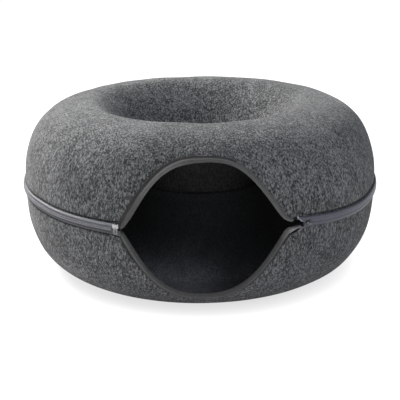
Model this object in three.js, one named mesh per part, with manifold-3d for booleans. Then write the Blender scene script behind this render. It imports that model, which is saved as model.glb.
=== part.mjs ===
// Donut cat house: two half-ring shells of moulded felt, zipped together around the outside and lapped
// around the hole in the middle, with a lens-shaped entrance bound in tape.
// Millimetres, +Z up. The entrance faces -Y and the house stands on z = 0.
// Angles around the ring are degrees from the middle of the entrance, positive towards +X.

import * as THREE from "three";
import { mergeVertices } from "three/addons/utils/BufferGeometryUtils.js";
import Module from "manifold-3d";

// Ring of felt
const OUTER_RADIUS = 300;
const HEIGHT = 280;
const ZIP_HEIGHT = 143;
const CREST_RADIUS = 188;
const HOLE_RADIUS = 104;
const BASE_INNER_RADIUS = 160;
const BASE_OUTER_RADIUS = 192;
const FELT = 5;
const CLEARANCE = 0.3;

// Fullness of each quarter of the ring's section: 2 is an ellipse, a higher number is squarer
const OUTER_TOP_FULLNESS = 2.44;
const HOLE_TOP_FULLNESS = 1.6;
const OUTER_BASE_FULLNESS = 2.5;
const HOLE_BASE_FULLNESS = 1.8;

// Lapped seam around the hole: the lower wall steps towards the axis and rises behind the upper wall
const LAP_STEP = FELT + CLEARANCE;
const LAP_HEIGHT = 11;
const LAP_DEPTH = 12;
const LAP_FOOT_DEPTH = 34;

// Entrance: an arch above the zip line and one below it, each drawn in to a point at the corners
const UPPER_ARCH_RISE = 102.4;
const LOWER_ARCH_RISE = 108.8;
const ENTRANCE_ARCHES = {
  upperLeft: { corner: 24.1, shoulder: 3.0, point: 1.3 },
  upperRight: { corner: 26.8, shoulder: 3.3, point: 2.4 },
  lowerLeft: { corner: 24.9, shoulder: 2.87, point: 1.39 },
  lowerRight: { corner: 25.2, shoulder: 2.58, point: 1.33 },
};
const SEAM_HALF_GAP = 1;
const NECK_HALF_GAP = 6;
const NECK_CLOSES_FROM = 27.5;
const NECK_CLOSES_TO = 31;
const WEDGE_HALF_GAP = 2.4;
const WEDGE_CLOSES_FROM = 25;
const WEDGE_CLOSES_TO = 26.5;

// Places where the zip line strays up or down from its level
const ZIP_WANDER = [
  { angle: 20.4, rise: 2.7, spread: 6 },
  { angle: 31, rise: 3.2, spread: 6 },
  { angle: 56, rise: -4.3, spread: 13.5 },
  { angle: -58, rise: 1.3, spread: 7 },
  { angle: -84, rise: 4.2, spread: 14 },
];

// Tape bound over the cut edges of the entrance
const BINDING_THICKNESS = 1;
const UPPER_BINDING_WIDTH = 8;
const LOWER_BINDING_WIDTH = 5.5;
const BINDING_TIP_WIDTH = 3;
const BINDING_TAPER = 4.5;
const BINDING_INSIDE_CLEARANCE = 0.9;
const BINDING_FOLD_ROUNDNESS = 0.7;
const BINDING_LEFT_END = -23.8;
const UPPER_BINDING_RIGHT_END = 26.2;
const LOWER_BINDING_RIGHT_END = 28.2;

// Zip: two tapes with a raised outer edge, a half-round chain over the gap between them
const ZIP_LEFT_END = -25;
const ZIP_RIGHT_END = 29;
const TAPE_HEIGHT = 8;
const TAPE_THICKNESS = 1.4;
const TAPE_EDGE_RAISE = 0.6;
const TAPE_EDGE_WIDTH = 2;
const TAPE_END_SLANT = 1.6;
const CHAIN_HALF_WIDTH = 2.8;
const CHAIN_THICKNESS = 3;
const CHAIN_FACETS = 6;
const CHAIN_LEFT_END = -26.5;
const CHAIN_RIGHT_END = 32.4;
const TACK_FROM = -26.3;
const TACK_THICKNESS = 2.4;
const TACK_HALF_HEIGHT = 7.6;
const TACK_CHAMFER = 1;

// Slider: a shield-shaped plate with a bridge across its face
const SLIDER_ANGLE = 31.1;
const SLIDER_LENGTH = 11;
const SLIDER_NOSE_WIDTH = 8;
const SLIDER_TAIL_WIDTH = 6;
const SLIDER_THICKNESS = 2;
const SLIDER_BEVEL = 0.4;
const BRIDGE_LENGTH = 7;
const BRIDGE_HEIGHT = 2.4;
const BRIDGE_WIDTH = 2.2;
const BRIDGE_BAR = 1;

// Steps of the meshes
const ENTRANCE_STEPS = 11;
const NECK_ANGLES = [27.6, 28.3];
const RING_STEPS = 45;
const OUTER_ROWS = 7;
const HOLE_ROWS = 6;

const felt = new THREE.MeshStandardMaterial({ color: 0x55575b, roughness: 0.95 });
const bindingTape = new THREE.MeshStandardMaterial({ color: 0x4b4a4c, roughness: 0.8 });
const zipTape = new THREE.MeshStandardMaterial({ color: 0x63646d, roughness: 0.75 });
const nylon = new THREE.MeshStandardMaterial({ color: 0x70717a, roughness: 0.5 });
const thread = new THREE.MeshStandardMaterial({ color: 0xb9babd, roughness: 0.8 });
const sliderMetal = new THREE.MeshStandardMaterial({ color: 0x85827c, roughness: 0.35, metalness: 0.8 });

const { degToRad, lerp, radToDeg, smoothstep } = THREE.MathUtils;

// A point of the ring at an angle, a radius from the ring's axis and a height
function ringPoint(angle, radius, height) {
  const turn = degToRad(angle);
  return new THREE.Vector3(radius * Math.sin(turn), -radius * Math.cos(turn), height);
}

// One quarter of the ring's section, from its upright side (turn 0) to its level end (turn 90).
// A negative turn carries on past the side.
class Quarter {
  constructor(sideRadius, levelRadius, levelHeight, fullness) {
    this.levelRadius = levelRadius;
    this.width = sideRadius - levelRadius;
    this.rise = levelHeight - ZIP_HEIGHT;
    this.fullness = fullness;
  }

  // Point (radius, height) on the felt's outer face, with its outward normal
  at(turn) {
    const across = Math.cos(degToRad(turn));
    const along = Math.sin(degToRad(turn));
    const power = this.fullness;
    const scale = (Math.abs(across) ** power + Math.abs(along) ** power) ** (-1 / power);
    const x = Math.max(across * scale, 0);
    const y = along * scale;
    const lean = Math.sign(y) * Math.abs(y) ** (power - 1);
    return {
      point: new THREE.Vector2(this.levelRadius + this.width * x, ZIP_HEIGHT + this.rise * y),
      normal: new THREE.Vector2(x ** (power - 1) / this.width, lean / this.rise).normalize(),
    };
  }

  turnAt(height) {
    const y = (height - ZIP_HEIGHT) / this.rise;
    const x = (1 - Math.abs(y) ** this.fullness) ** (1 / this.fullness);
    return radToDeg(Math.atan2(y, x));
  }
}

const outerTop = new Quarter(OUTER_RADIUS, CREST_RADIUS, HEIGHT, OUTER_TOP_FULLNESS);
const holeTop = new Quarter(HOLE_RADIUS, CREST_RADIUS, HEIGHT, HOLE_TOP_FULLNESS);
const outerBase = new Quarter(OUTER_RADIUS, BASE_OUTER_RADIUS, 0, OUTER_BASE_FULLNESS);
const holeBase = new Quarter(HOLE_RADIUS, BASE_INNER_RADIUS, 0, HOLE_BASE_FULLNESS);

const upperHalf = {
  wall: outerTop,
  side: 1,
  rise: UPPER_ARCH_RISE,
  bindingWidth: UPPER_BINDING_WIDTH,
  bindingRightEnd: UPPER_BINDING_RIGHT_END,
  left: ENTRANCE_ARCHES.upperLeft,
  right: ENTRANCE_ARCHES.upperRight,
};
const lowerHalf = {
  wall: outerBase,
  side: -1,
  rise: LOWER_ARCH_RISE,
  bindingWidth: LOWER_BINDING_WIDTH,
  bindingRightEnd: LOWER_BINDING_RIGHT_END,
  left: ENTRANCE_ARCHES.lowerLeft,
  right: ENTRANCE_ARCHES.lowerRight,
};

// Height of the zip line at an angle from -180 to 180
function zipLine(angle) {
  const strays = ZIP_WANDER.map((w) => w.rise * Math.exp(-(((angle - w.angle) / w.spread) ** 2)));
  return strays.reduce((height, stray) => height + stray, ZIP_HEIGHT);
}

// Height of a half's cut edge: an arch over the entrance, a narrow neck beside it on the right, a wedge
// on the left, and just clear of the zip line around the rest of the ring
function edgeHeight(angle, half) {
  const arch = angle < 0 ? half.left : half.right;
  const across = Math.min(Math.abs(angle) / arch.corner, 1);
  const rise = half.rise * (1 - across ** arch.shoulder) ** arch.point;
  const neck = lerp(NECK_HALF_GAP, SEAM_HALF_GAP, smoothstep(angle, NECK_CLOSES_FROM, NECK_CLOSES_TO));
  const wedge = lerp(WEDGE_HALF_GAP, SEAM_HALF_GAP, smoothstep(-angle, WEDGE_CLOSES_FROM, WEDGE_CLOSES_TO));
  const gap = angle > 0 ? neck : wedge;
  return zipLine(angle) + half.side * Math.hypot(rise, gap);
}

// Angles of the shells' upright sections, close together beside the entrance's corners
function sectionAngles() {
  const angles = [];
  for (let step = -ENTRANCE_STEPS; step <= ENTRANCE_STEPS; step++) {
    const corner = step < 0 ? -ZIP_LEFT_END : ENTRANCE_ARCHES.upperRight.corner;
    angles.push(corner * Math.sin(((step / ENTRANCE_STEPS) * Math.PI) / 2));
  }
  angles.push(...NECK_ANGLES);
  const sweep = 360 + ZIP_LEFT_END - ZIP_RIGHT_END;
  for (let step = 0; step < RING_STEPS; step++) {
    const angle = ZIP_RIGHT_END + (sweep * step) / RING_STEPS;
    angles.push(angle > 180 ? angle - 360 : angle);
  }
  return angles;
}

// Section angles between two ends, going round the back from the right end to the left end
function anglesRoundBack(rightEnd, leftEnd) {
  const right = sectionAngles().filter((angle) => angle > rightEnd);
  const left = sectionAngles().filter((angle) => angle < leftEnd);
  return [rightEnd, ...right, ...left, leftEnd];
}

// A closed solid through loops of points that all go the same way round.
// Without a section it runs on round a ring, and with one it gets a flat cap at each end.
// Each four-cornered face is split along its shorter diagonal.
function loft(loops, section) {
  const points = loops.flat();
  const size = loops[0].length;
  const spans = section ? loops.length - 1 : loops.length;
  const triangles = [];
  for (let i = 0; i < spans; i++) {
    const here = i * size;
    const next = ((i + 1) % loops.length) * size;
    for (let k = 0; k < size; k++) {
      const k2 = (k + 1) % size;
      const [a, b, c, d] = [here + k, here + k2, next + k2, next + k];
      if (points[a].distanceTo(points[c]) < points[b].distanceTo(points[d])) {
        triangles.push([a, b, c], [a, c, d]);
      } else {
        triangles.push([a, b, d], [b, c, d]);
      }
    }
  }
  if (section) {
    const last = (loops.length - 1) * size;
    const clockwise = THREE.ShapeUtils.isClockWise(section);
    for (const corners of THREE.ShapeUtils.triangulateShape(section, [])) {
      const [a, b, c] = clockwise ? corners.reverse() : corners;
      triangles.push([c, b, a], [last + a, last + b, last + c]);
    }
  }
  const volume = triangles.reduce(
    (sum, [a, b, c]) => sum + points[a].dot(points[b].clone().cross(points[c])),
    0,
  );
  const outward = volume > 0 ? triangles : triangles.map(([a, b, c]) => [c, b, a]);
  const geometry = new THREE.BufferGeometry().setFromPoints(points);
  geometry.setIndex(outward.flat());
  geometry.computeVertexNormals();
  return geometry;
}

// Stretch of a quarter between two turns, as points with normals, both ends included
function stretch(quarter, from, to, rows) {
  return Array.from({ length: rows + 1 }, (_, row) => quarter.at(lerp(from, to, row / rows)));
}

// Closed loop of a felt section at an angle: along the outer face, then back along the inner face
function feltLoop(angle, section) {
  const outer = section.map(({ point }) => point);
  const inner = section.map(({ point, normal }) => point.clone().addScaledVector(normal, -FELT));
  return [...outer, ...inner.reverse()].map((point) => ringPoint(angle, point.x, point.y));
}

function upperSection(angle) {
  const edge = outerTop.turnAt(edgeHeight(angle, upperHalf));
  const hole = stretch(holeTop, 90, 0, HOLE_ROWS);
  return [...stretch(outerTop, edge, 90, OUTER_ROWS), ...hole.slice(1)];
}

function lowerSection(angle) {
  const edge = outerBase.turnAt(edgeHeight(angle, lowerHalf));
  const lapFoot = holeBase.turnAt(ZIP_HEIGHT - LAP_FOOT_DEPTH);
  const lapWall = [-LAP_DEPTH, LAP_HEIGHT].map((rise) => ({
    point: new THREE.Vector2(HOLE_RADIUS - LAP_STEP, ZIP_HEIGHT + rise),
    normal: new THREE.Vector2(-1, 0),
  }));
  const hole = stretch(holeBase, 90, lapFoot, HOLE_ROWS);
  return [...stretch(outerBase, edge, 90, OUTER_ROWS), ...hole, ...lapWall];
}

function shell(sectionAt) {
  return loft(sectionAngles().map((angle) => feltLoop(angle, sectionAt(angle))));
}

// Folded tape around a cut edge: x is how far it reaches back over the felt from the edge,
// y is how far it stands out from the felt's outer face
function bindingSection(width) {
  const outside = CLEARANCE + BINDING_THICKNESS;
  const shoulder = -outside * BINDING_FOLD_ROUNDNESS;
  const back = -FELT - BINDING_INSIDE_CLEARANCE;
  return [
    new THREE.Vector2(width, CLEARANCE),
    new THREE.Vector2(width, outside),
    new THREE.Vector2(0, outside),
    new THREE.Vector2(shoulder, 0),
    new THREE.Vector2(-outside, -FELT / 2),
    new THREE.Vector2(shoulder, -FELT),
    new THREE.Vector2(0, back - BINDING_THICKNESS),
    new THREE.Vector2(width, back - BINDING_THICKNESS),
    new THREE.Vector2(width, back),
    new THREE.Vector2(-CLEARANCE, back),
    new THREE.Vector2(-CLEARANCE, CLEARANCE),
  ];
}

// Loop of the binding where the edge crosses an angle, turned square to the edge on the wall's surface
function bindingLoop(angle, half, width) {
  const nudge = 0.05;
  const height = edgeHeight(angle, half);
  const climb = edgeHeight(angle + nudge, half) - edgeHeight(angle - nudge, half);
  const { point, normal } = half.wall.at(half.wall.turnAt(height));
  const edge = new THREE.Vector2(point.x * degToRad(2 * nudge), climb / normal.x).normalize();
  const inward = new THREE.Vector2(-edge.y, edge.x).multiplyScalar(half.side);
  return bindingSection(width).map((spot) => {
    const wallPoint = half.wall.at(half.wall.turnAt(height + spot.x * inward.y * normal.x));
    const place = wallPoint.point.addScaledVector(wallPoint.normal, spot.y);
    return ringPoint(angle + radToDeg((spot.x * inward.x) / point.x), place.x, place.y);
  });
}

function binding(half) {
  const rightEnd = half.bindingRightEnd;
  const between = sectionAngles().filter((angle) => angle > BINDING_LEFT_END && angle < rightEnd);
  const loops = [BINDING_LEFT_END, ...between, rightEnd].map((angle) => {
    const fromEnd = Math.min(angle - BINDING_LEFT_END, rightEnd - angle);
    const widen = smoothstep(fromEnd, 0, BINDING_TAPER);
    return bindingLoop(angle, half, lerp(BINDING_TIP_WIDTH, half.bindingWidth, widen));
  });
  return loft(loops, bindingSection(half.bindingWidth));
}

// Loop of a strip along the zip line: x stands out from the felt's face, y is up from the zip line
function zipLoop(angle, section, slant = 0) {
  return section.map(({ x, y }) => ringPoint(angle - slant * y, OUTER_RADIUS + x, zipLine(angle) + y));
}

const tapeFace = CLEARANCE + TAPE_THICKNESS;

// One tape, above the zip line with side 1 or below it with side -1, its right end cut on a slant
function zipTapeStrip(side) {
  const section = [
    [CLEARANCE, CLEARANCE],
    [tapeFace, CLEARANCE],
    [tapeFace, TAPE_HEIGHT - TAPE_EDGE_WIDTH],
    [tapeFace + TAPE_EDGE_RAISE, TAPE_HEIGHT - TAPE_EDGE_WIDTH / 2],
    [tapeFace, TAPE_HEIGHT],
    [CLEARANCE, TAPE_HEIGHT],
  ].map(([x, y]) => new THREE.Vector2(x, side * y));
  const slant = side > 0 ? TAPE_END_SLANT / TAPE_HEIGHT : 0;
  const angles = anglesRoundBack(ZIP_RIGHT_END, ZIP_LEFT_END);
  return loft(angles.map((angle, i) => zipLoop(angle, section, i === 0 ? slant : 0)), section);
}

function zipChain() {
  const seat = tapeFace + CLEARANCE;
  const crown = Array.from({ length: CHAIN_FACETS + 1 }, (_, i) => {
    const turn = Math.PI * (i / CHAIN_FACETS - 0.5);
    return new THREE.Vector2(seat + CHAIN_THICKNESS * Math.cos(turn), CHAIN_HALF_WIDTH * Math.sin(turn));
  });
  const angles = anglesRoundBack(CHAIN_RIGHT_END, CHAIN_LEFT_END);
  return loft(angles.map((angle) => zipLoop(angle, crown)), crown);
}

// Block of thread across both tapes, over the zip's left end
function zipEndTack() {
  const seat = tapeFace + TAPE_EDGE_RAISE + CLEARANCE;
  const section = [
    new THREE.Vector2(seat, -TACK_HALF_HEIGHT),
    new THREE.Vector2(seat + TACK_THICKNESS, -TACK_HALF_HEIGHT + TACK_CHAMFER),
    new THREE.Vector2(seat + TACK_THICKNESS, TACK_HALF_HEIGHT - TACK_CHAMFER),
    new THREE.Vector2(seat, TACK_HALF_HEIGHT),
  ];
  return loft([TACK_FROM, ZIP_LEFT_END].map((angle) => zipLoop(angle, section)), section);
}

const wasm = await Module();
wasm.setup();

// Solid for joining, from a closed geometry
function toSolid(geometry) {
  const bare = geometry.clone().deleteAttribute("normal").deleteAttribute("uv");
  const merged = mergeVertices(bare.index ? bare.toNonIndexed() : bare, 1e-4);
  return new wasm.Manifold(
    new wasm.Mesh({
      numProp: 3,
      vertProperties: new Float32Array(merged.attributes.position.array),
      triVerts: new Uint32Array(merged.index.array),
    }),
  );
}

function fromSolid(solid) {
  const mesh = solid.getMesh();
  const geometry = new THREE.BufferGeometry();
  geometry.setAttribute("position", new THREE.BufferAttribute(new Float32Array(mesh.vertProperties), 3));
  geometry.setIndex(new THREE.BufferAttribute(new Uint32Array(mesh.triVerts), 1));
  geometry.computeVertexNormals();
  return geometry;
}

// Slider with x along the zip, y up and z out of the felt, its nose towards -x
function sliderGeometry() {
  const half = SLIDER_LENGTH / 2 - SLIDER_BEVEL;
  const nose = SLIDER_NOSE_WIDTH / 2 - SLIDER_BEVEL;
  const tail = SLIDER_TAIL_WIDTH / 2 - SLIDER_BEVEL;
  const shoulder = half - nose;
  const outline = new THREE.Shape();
  outline.moveTo(half, -tail);
  outline.lineTo(half, tail);
  outline.lineTo(0, tail);
  outline.lineTo(-shoulder, nose);
  outline.quadraticCurveTo(-half - nose, 0, -shoulder, -nose);
  outline.lineTo(0, -tail);
  const plate = new THREE.ExtrudeGeometry(outline, {
    depth: SLIDER_THICKNESS - 2 * SLIDER_BEVEL,
    bevelSize: SLIDER_BEVEL,
    bevelThickness: SLIDER_BEVEL,
    bevelSegments: 1,
    curveSegments: 6,
  }).translate(0, 0, SLIDER_BEVEL);

  const foot = SLIDER_THICKNESS / 2;
  const top = SLIDER_THICKNESS + BRIDGE_HEIGHT;
  const end = BRIDGE_LENGTH / 2;
  const knee = end - BRIDGE_BAR;
  const arch = new THREE.Shape(
    [
      [-end, foot],
      [-end + BRIDGE_BAR, foot],
      [-knee + BRIDGE_BAR / 2, top - BRIDGE_BAR],
      [knee - BRIDGE_BAR / 2, top - BRIDGE_BAR],
      [end - BRIDGE_BAR, foot],
      [end, foot],
      [knee, top],
      [-knee, top],
    ].map(([x, y]) => new THREE.Vector2(x, y)),
  );
  const bridge = new THREE.ExtrudeGeometry(arch, { depth: BRIDGE_WIDTH, bevelEnabled: false })
    .translate(0, 0, -BRIDGE_WIDTH / 2)
    .rotateX(Math.PI / 2);
  return fromSolid(toSolid(plate).add(toSolid(bridge)));
}

const house = new THREE.Group();

function addPiece(name, geometry, material) {
  const piece = new THREE.Mesh(geometry, material);
  piece.name = name;
  house.add(piece);
  return piece;
}

addPiece("upper_shell", shell(upperSection), felt);
addPiece("lower_shell", shell(lowerSection), felt);
addPiece("upper_binding", binding(upperHalf), bindingTape);
addPiece("lower_binding", binding(lowerHalf), bindingTape);
addPiece("upper_zip_tape", zipTapeStrip(1), zipTape);
addPiece("lower_zip_tape", zipTapeStrip(-1), zipTape);
addPiece("zip_chain", zipChain(), nylon);
addPiece("zip_end_tack", zipEndTack(), thread);

const slider = addPiece("zip_slider", sliderGeometry(), sliderMetal);
const sliderSeat = OUTER_RADIUS + tapeFace + CLEARANCE;
const sliderOut = ringPoint(SLIDER_ANGLE, 1, 0);
const sliderAlong = ringPoint(SLIDER_ANGLE + 90, 1, 0);
slider.quaternion.setFromRotationMatrix(
  new THREE.Matrix4().makeBasis(sliderAlong, new THREE.Vector3(0, 0, 1), sliderOut),
);
slider.position.copy(ringPoint(SLIDER_ANGLE, sliderSeat, zipLine(SLIDER_ANGLE)));

// The cut-away front leaves the footprint longer behind the ring's axis than in front of it,
// so the ring moves forward to centre the footprint on the origin.
const footprint = new THREE.Box3().setFromObject(house);
house.position.y = -(footprint.min.y + footprint.max.y) / 2;

export default house;
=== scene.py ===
# Donut cat house of charcoal felt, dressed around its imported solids. Metres, +Z up, entrance at -Y.
# Angles around the ring are degrees from the middle of the entrance, positive towards +X.

import math

import bpy
import numpy as np
from mathutils import Matrix, Quaternion, Vector


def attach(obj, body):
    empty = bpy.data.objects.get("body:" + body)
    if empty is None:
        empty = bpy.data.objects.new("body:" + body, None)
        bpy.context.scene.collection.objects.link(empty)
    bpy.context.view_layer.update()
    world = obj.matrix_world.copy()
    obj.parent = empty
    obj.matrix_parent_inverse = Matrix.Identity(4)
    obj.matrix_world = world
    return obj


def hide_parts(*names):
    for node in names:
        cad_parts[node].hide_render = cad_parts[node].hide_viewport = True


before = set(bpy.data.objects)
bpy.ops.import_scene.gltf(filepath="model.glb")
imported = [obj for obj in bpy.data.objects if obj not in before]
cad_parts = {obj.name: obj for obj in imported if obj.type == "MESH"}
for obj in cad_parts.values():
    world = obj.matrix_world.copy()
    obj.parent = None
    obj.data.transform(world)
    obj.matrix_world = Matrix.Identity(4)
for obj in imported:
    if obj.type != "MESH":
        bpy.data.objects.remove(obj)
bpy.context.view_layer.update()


# Lower shell
# The bottom half of the ring, moulded from one round blank of charcoal needle felt 5 mm thick.
# It has a flat base to stand on, and is trimmed along the zip and the lower half of the entrance.
# Around the hole its wall steps in and rises a little, to lap over the end of the upper shell.

RING_AXIS_Y = -0.010693
ZIP_HEIGHT = 0.143
FELT_THICKNESS = 0.005
# A quarter of the section: radius of its upright side and of its level end, that end's height, fullness.
LOWER_WALL = {"side": 0.300, "level": 0.192, "height": 0.0, "fullness": 2.5}
LOWER_HOLE = {"side": 0.104, "level": 0.160, "height": 0.0, "fullness": 1.8}
# The entrance's arch: its rise, then for each half its corner's angle and how full and pointed it is,
# the angles that are bound, and the middle, spread and reach of the tuck at its right-hand end.
LOWER_EDGE = {
    "side": -1,
    "rise": 0.1088,
    "left": (24.9, 2.87, 1.39),
    "right": (25.2, 2.58, 1.33),
    "bound": (-24.4, 28.4),
    "tuck": (28.5, 1.1, 0.0040),
}
# Angle, rise and spread of each stray of the zip line.
ZIP_WANDER = [
    (20.4, 0.0027, 6.0),
    (31.0, 0.0032, 6.0),
    (56.0, -0.0043, 13.5),
    (-58.0, 0.0013, 7.0),
    (-84.0, 0.0042, 14.0),
]
NECK_HALF_GAP = 0.006
SEAM_HALF_GAP = 0.001
NECK_CLOSES = (27.5, 31.0)
WEDGE_HALF_GAP = 0.0024
WEDGE_CLOSES = (25.0, 26.5)
LAP_RADIUS = 0.0987
LAP_FOOT = 0.109
LAP_LOW = 0.131
LAP_TOP = 0.154
ENTRANCE_MIDDLE = -1.15
ENTRANCE_HALF_SPAN = 25.35
NECK_SPAN = (24.2, 31.0)
RING_END = 333.5
ENTRANCE_COLUMNS = 84
NECK_COLUMNS = 34
RING_COLUMNS = 236
# Distances of the shells' first rows from the cut edge.
EDGE_ROWS = np.append(np.linspace(0, 0.0126, 19), [0.0135, 0.0146, 0.016, 0.018])
SECTION_ROWS = 88
SECTION_SAMPLES = 260
HOLE_SAMPLES = 200
LAP_SAMPLES = 40
SAME_PLACE = 1e-7
LUMP_SEED = 11
LUMP_WAVES = 14
LUMP_LENGTHS = (0.05, 0.13)
LUMP_HEIGHT = 0.0006
LUMPS_FROM_EDGE = (0.008, 0.04)
LUMPS_FROM_FLOOR = (0.004, 0.03)
LUMPS_FROM_END = (0.01, 0.04)
SEAM_BESIDE_FLAP = 0.0009
SEAM_BESIDE_ZIP = 0.0089
SEAM_PULL = 0.0012
SEAM_WIDTH = 0.0014
TUCK_DEPTH = 1.3
TUCK_FULL_SHARE = 0.6
# Distances from the shell's end at the lap within which the crease is full and then fades: painted shade
# along the lap's edge.
END_CREASE = (0.002, 0.0045)
# Pairs of an angle and millimetres: the binding's width, and how far from the edge the crease lies.
LOWER_FLAP = [
    (-24, 6.8), (-18, 6.2), (0, 5.6), (18, 5.6), (22.5, 6.2),
    (24.6, 6.2), (25.5, 4.6), (26.2, 3.2), (27, 1.9), (28.7, 1.2),
]
LOWER_CREASE = [*LOWER_FLAP[:5], (24.6, 7.2), (25.5, 6.7), (26.2, 4.9), (27, 2.7), (27.9, 1.2)]
# Pairs of an angle and how deep the seam draws the felt in, as a share of its pull; this also sets the depth
# of its painted shade.
LOWER_SEAM = [
    (-140, 0.8), (-40, 1.0), (-26, 0.8), (-24, 1.3), (-21, 1.2), (-18, 0.4), (22, 0.3),
    (24.6, 1.2), (25.6, 2.6), (28, 2.6), (28.6, 0.2), (60, 0.25), (140, 0.5),
]


def smooth_ramp(value, low, high):
    """0 below low, 1 above high, and a smooth rise between them."""
    share = np.clip((value - low) / (high - low), 0, 1)
    return share * share * (3 - 2 * share)


def signed(angle):
    """The same angle from -180 to 180."""
    return np.where(angle > 180, angle - 360, angle)


def read_pairs(pairs, angle):
    """Values at angles, read between pairs of an angle and a value."""
    return np.interp(angle, *np.transpose(pairs))


def ring_point(angle, radius, height):
    """Points at angles around the ring, radii from its axis and heights."""
    turn = np.radians(angle)
    x = radius * np.sin(turn)
    y = RING_AXIS_Y - radius * np.cos(turn)
    return np.stack(np.broadcast_arrays(x, y, height), axis=-1)


def wall_point(wall, turn):
    """Radius and height of a quarter of the ring's section, from its upright side to its level end."""
    across = np.cos(turn)
    along = np.sin(turn)
    power = wall["fullness"]
    scale = (np.abs(across) ** power + np.abs(along) ** power) ** (-1 / power)
    radius = wall["level"] + (wall["side"] - wall["level"]) * np.maximum(across * scale, 0)
    height = ZIP_HEIGHT + (wall["height"] - ZIP_HEIGHT) * along * scale
    return radius, height


def turn_at(wall, height):
    """Turn of a quarter at which it reaches a height."""
    up = (height - ZIP_HEIGHT) / (wall["height"] - ZIP_HEIGHT)
    power = wall["fullness"]
    across = np.maximum(1 - np.abs(up) ** power, 0) ** (1 / power)
    return np.arctan2(up, across)


def zip_line(angle):
    """Height of the zip's middle, which strays a little beside the entrance."""
    height = np.full_like(np.asarray(angle, float), ZIP_HEIGHT)
    for place, rise, spread in ZIP_WANDER:
        height = height + rise * np.exp(-(((angle - place) / spread) ** 2))
    return height


def edge_height(angle, edge):
    """Height of a shell's cut edge: an arch over the entrance, narrowing to the zip line at its corners."""
    angle = np.asarray(angle, float)
    rise = np.zeros_like(angle)
    for arch, here in ((edge["left"], angle < 0), (edge["right"], angle >= 0)):
        corner, shoulder, point = arch
        across = np.minimum(np.abs(angle) / corner, 1)
        rise = np.where(here, edge["rise"] * (1 - across**shoulder) ** point, rise)
    closing = np.where(angle > 0, smooth_ramp(angle, *NECK_CLOSES), smooth_ramp(-angle, *WEDGE_CLOSES))
    half_gap = np.where(angle > 0, NECK_HALF_GAP, WEDGE_HALF_GAP)
    gap = half_gap + (SEAM_HALF_GAP - half_gap) * closing
    return zip_line(angle) + edge["side"] * np.hypot(rise, gap)


def ring_columns():
    """Angles of the shells' columns: close at the entrance's corners, closest in the right-hand one."""
    share = np.sin(np.linspace(-math.pi / 2, math.pi / 2, ENTRANCE_COLUMNS, endpoint=False))
    entrance = ENTRANCE_MIDDLE + ENTRANCE_HALF_SPAN * share
    neck = np.linspace(*NECK_SPAN, NECK_COLUMNS, endpoint=False)
    around = np.linspace(NECK_SPAN[1], RING_END, RING_COLUMNS, endpoint=False)
    return np.concatenate([entrance, neck, signed(around)])


def lumps(points):
    """Slow unevenness of moulded felt, from -1 to 1: a few waves in fixed directions."""
    draws = np.random.default_rng(LUMP_SEED)
    directions = draws.normal(size=(LUMP_WAVES, 3))
    directions /= np.linalg.norm(directions, axis=1)[:, None]
    lengths = draws.uniform(*LUMP_LENGTHS, LUMP_WAVES)
    phases = draws.uniform(0, 2 * math.pi, LUMP_WAVES)
    turns = points @ (directions / lengths[:, None]).T * 2 * math.pi + phases
    return np.sin(turns).sum(-1) / math.sqrt(2 * LUMP_WAVES)


def make_piece(name, points, faces, materials):
    """A mesh object at the origin from points and faces."""
    mesh = bpy.data.meshes.new(name)
    mesh.from_pydata(np.asarray(points).reshape(-1, 3).tolist(), [], faces)
    mesh.update()
    piece = bpy.data.objects.new(name, mesh)
    bpy.context.scene.collection.objects.link(piece)
    for material in materials:
        mesh.materials.append(material)
    return piece


def keep_on_points(piece, name, values):
    """Keeps a value for each point of a piece's mesh, for its material."""
    kept = piece.data.attributes.new(name, "FLOAT", "POINT")
    kept.data.foreach_set("value", np.asarray(values, np.float32).ravel())


def choose(piece):
    """Makes a piece the only selected object, and the active one."""
    bpy.ops.object.select_all(action="DESELECT")
    bpy.context.view_layer.objects.active = piece
    piece.select_set(True)


def apply_modifier(piece, kind, **settings):
    """Adds a modifier with these settings and applies it."""
    choose(piece)
    modifier = piece.modifiers.new(kind.lower(), kind)
    for name, value in settings.items():
        setattr(modifier, name, value)
    bpy.ops.object.modifier_apply(modifier=modifier.name)


def shade_smooth(piece, angle):
    """Smooth shading, with creases kept where faces meet at more than this angle."""
    choose(piece)
    bpy.ops.object.shade_smooth_by_angle(angle=math.radians(angle))


def flap_width(widths, angle):
    """Width in metres of a binding's flap, from pairs of an angle and millimetres."""
    return read_pairs(widths, angle) / 1000


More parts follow.
